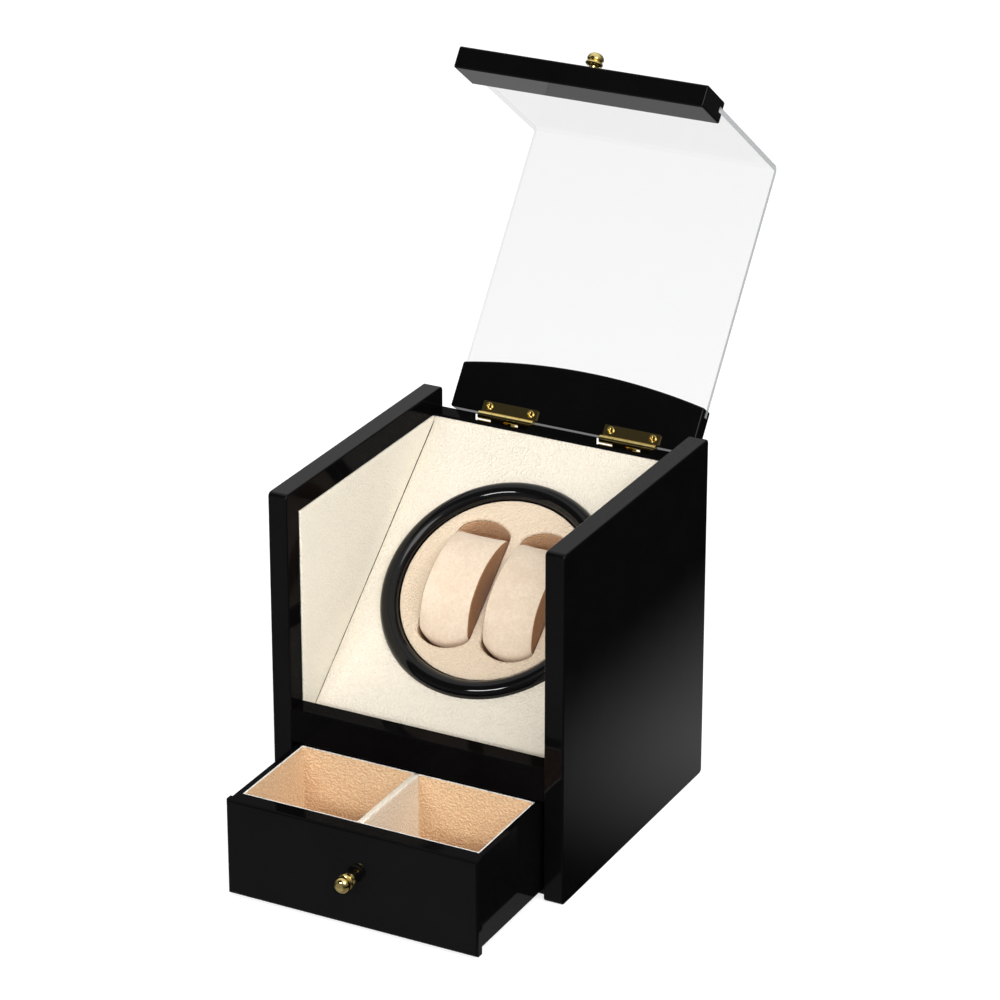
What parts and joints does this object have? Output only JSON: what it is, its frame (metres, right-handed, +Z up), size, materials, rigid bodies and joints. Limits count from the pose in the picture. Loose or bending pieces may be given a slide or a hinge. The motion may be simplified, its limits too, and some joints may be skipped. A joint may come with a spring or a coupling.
{
  "type": "watch winder box",
  "caption": "Lacquered watch winder box with tilted motor-driven turntable and removable cushions, hinged lid with bent clear window, and lined slide-out drawer.",
  "frame": {"origin": "centre of the case's flat underside, on the surface it stands on", "axes": "+Z up, -Y towards the front (drawer side), +X to the right seen from the front"},
  "size_m": [0.17, 0.357, 0.3876],
  "materials": {
    "black_lacquer": "high-gloss black piano lacquer over MDF",
    "case_interior": "matt black painted board, hidden inside",
    "ivory_leather": "fine pebbled microfibre leather",
    "drawer_leather": "fine pebbled microfibre leather, warm tan",
    "cushion_suede": "soft suede-like microfibre",
    "black_gloss_plastic": "gloss black ABS",
    "black_plastic": "satin black ABS",
    "nylon": "natural white acetal",
    "clear_acrylic": "clear polished acrylic",
    "brass": "polished brass",
    "steel": "satin zinc-plated steel",
    "chrome": "bright plated steel",
    "circuit_green": "solder-masked circuit board"
  },
  "bodies": {
    "case": {"left_side_panel": "black_lacquer", "right_side_panel": "black_lacquer", "base_board": "black_lacquer", "rear_board": "black_lacquer", "rear_rail": "black_lacquer", "front_rail": "black_lacquer", "drawer_deck": "case_interior", "tilted_panel": "case_interior", "panel_lining": "ivory_leather", "left_side_lining": "ivory_leather", "right_side_lining": "ivory_leather", "bezel_ring": "black_gloss_plastic", "spindle_bush": "brass", "mechanism_bracket": "steel", "bracket_screws": "steel", "gearbox_case": "steel", "motor_can": "chrome", "motor_screws": "steel", "hinge_leaves_case": "brass", "hinge_pins": "brass", "hinge_screws_case": "brass", "drawer_guides": "case_interior", "rear_cover": "black_plastic", "rear_cover_screws": "chrome", "dc_jack": "black_plastic", "mode_switch": "black_plastic", "power_switch_body": "black_plastic", "control_board": "circuit_green"},
    "lid": {"lid_hinge_rail": "black_lacquer", "lid_window": "clear_acrylic", "lid_front_bar": "black_lacquer", "lid_knob": "brass", "lid_knob_stud": "steel", "hinge_leaves_lid": "brass", "hinge_screws_lid": "brass"},
    "drawer": {"drawer_front": "black_lacquer", "drawer_front_wall": "black_lacquer", "drawer_left_side": "black_lacquer", "drawer_right_side": "black_lacquer", "drawer_back": "black_lacquer", "drawer_bottom": "case_interior", "drawer_divider": "drawer_leather", "drawer_lining_left": "drawer_leather", "drawer_lining_right": "drawer_leather", "drawer_knob": "brass", "drawer_knob_stud": "steel", "drawer_stop_pins": "steel"},
    "turntable": {"turntable_face": "black_plastic", "turntable_lining": "ivory_leather", "turntable_housing": "black_plastic", "pocket_lining_left": "ivory_leather", "pocket_lining_right": "ivory_leather", "spindle": "steel", "drive_gear": "nylon"},
    "pinion": {"motor_pinion": "nylon"},
    "left_cushion": {"cushion_left": "cushion_suede"},
    "right_cushion": {"cushion_right": "cushion_suede"},
    "selector": {"mode_knob": "black_plastic"},
    "rocker": {"power_rocker": "black_gloss_plastic"}
  },
  "joints": [
    {"name": "lid_hinge", "type": "hinge", "parent": "case", "child": "lid", "pos_m": [0, 0.0866, 0.1838], "axis": [1, 0, 0], "range_deg": [0, 126.6]},
    {"name": "drawer_slide", "type": "slide", "parent": "case", "child": "drawer", "axis": [0, 1, 0], "range_m": [0, 0.0695]},
    {"name": "turntable_spin", "type": "hinge", "parent": "case", "child": "turntable", "pos_m": [0, 0.00416, 0.12427], "axis": [0, -0.6428, 0.766], "continuous": true},
    {"name": "pinion_spin", "type": "hinge", "parent": "case", "child": "pinion", "pos_m": [-0.02771, 0.0357, 0.11157], "axis": [0, -0.6428, 0.766], "continuous": true},
    {"name": "left_cushion_lift", "type": "slide", "parent": "turntable", "child": "left_cushion", "axis": [0, -0.6428, 0.766], "range_m": [0, 0.04]},
    {"name": "right_cushion_lift", "type": "slide", "parent": "turntable", "child": "right_cushion", "axis": [0, -0.6428, 0.766], "range_m": [0, 0.04]},
    {"name": "mode_knob_turn", "type": "hinge", "parent": "case", "child": "selector", "pos_m": [0, 0.0862, 0.1], "axis": [0, 1, 0], "range_deg": [0, 270]},
    {"name": "power_rocker_tilt", "type": "hinge", "parent": "case", "child": "rocker", "pos_m": [0.028, 0.0858, 0.1], "axis": [1, 0, 0], "range_deg": [-16, 0]}
  ],
  "couplings": [
    {"joint": "pinion_spin", "follows": "turntable_spin", "ratio": -3}
  ]
}
